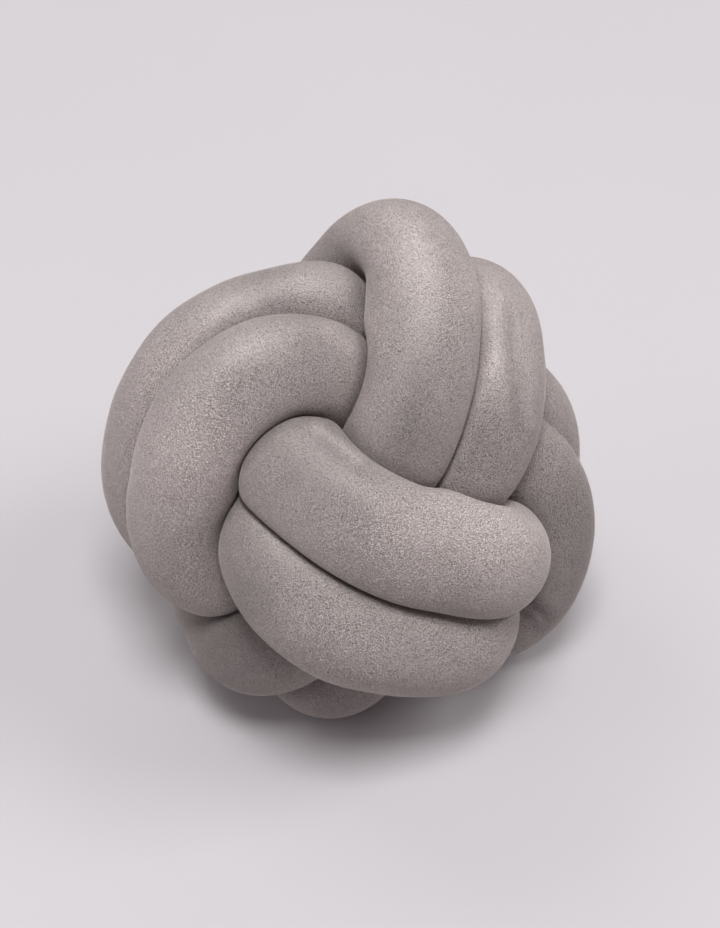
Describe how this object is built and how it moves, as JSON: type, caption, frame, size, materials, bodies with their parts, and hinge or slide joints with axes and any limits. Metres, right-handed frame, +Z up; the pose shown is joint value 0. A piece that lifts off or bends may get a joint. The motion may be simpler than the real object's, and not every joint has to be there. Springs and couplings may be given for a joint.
{
  "type": "knot cushion",
  "caption": "Ball-shaped decorative cushion knotted from one long stuffed plush tube in three doubled, interlocking bands.",
  "frame": {"origin": "centre of the cushion's footprint, on the surface it rests on", "axes": "+Z up; -Y towards the side where the three bands meet in a triangle; +X to that side's right"},
  "size_m": [0.2854, 0.2928, 0.2604],
  "materials": {
    "taupe_plush": "short warm grey plush pile, soft and matt with a light sheen at grazing angles"
  },
  "bodies": {
    "root": {"knotted_tube": "taupe_plush"}
  },
  "joints": []
}
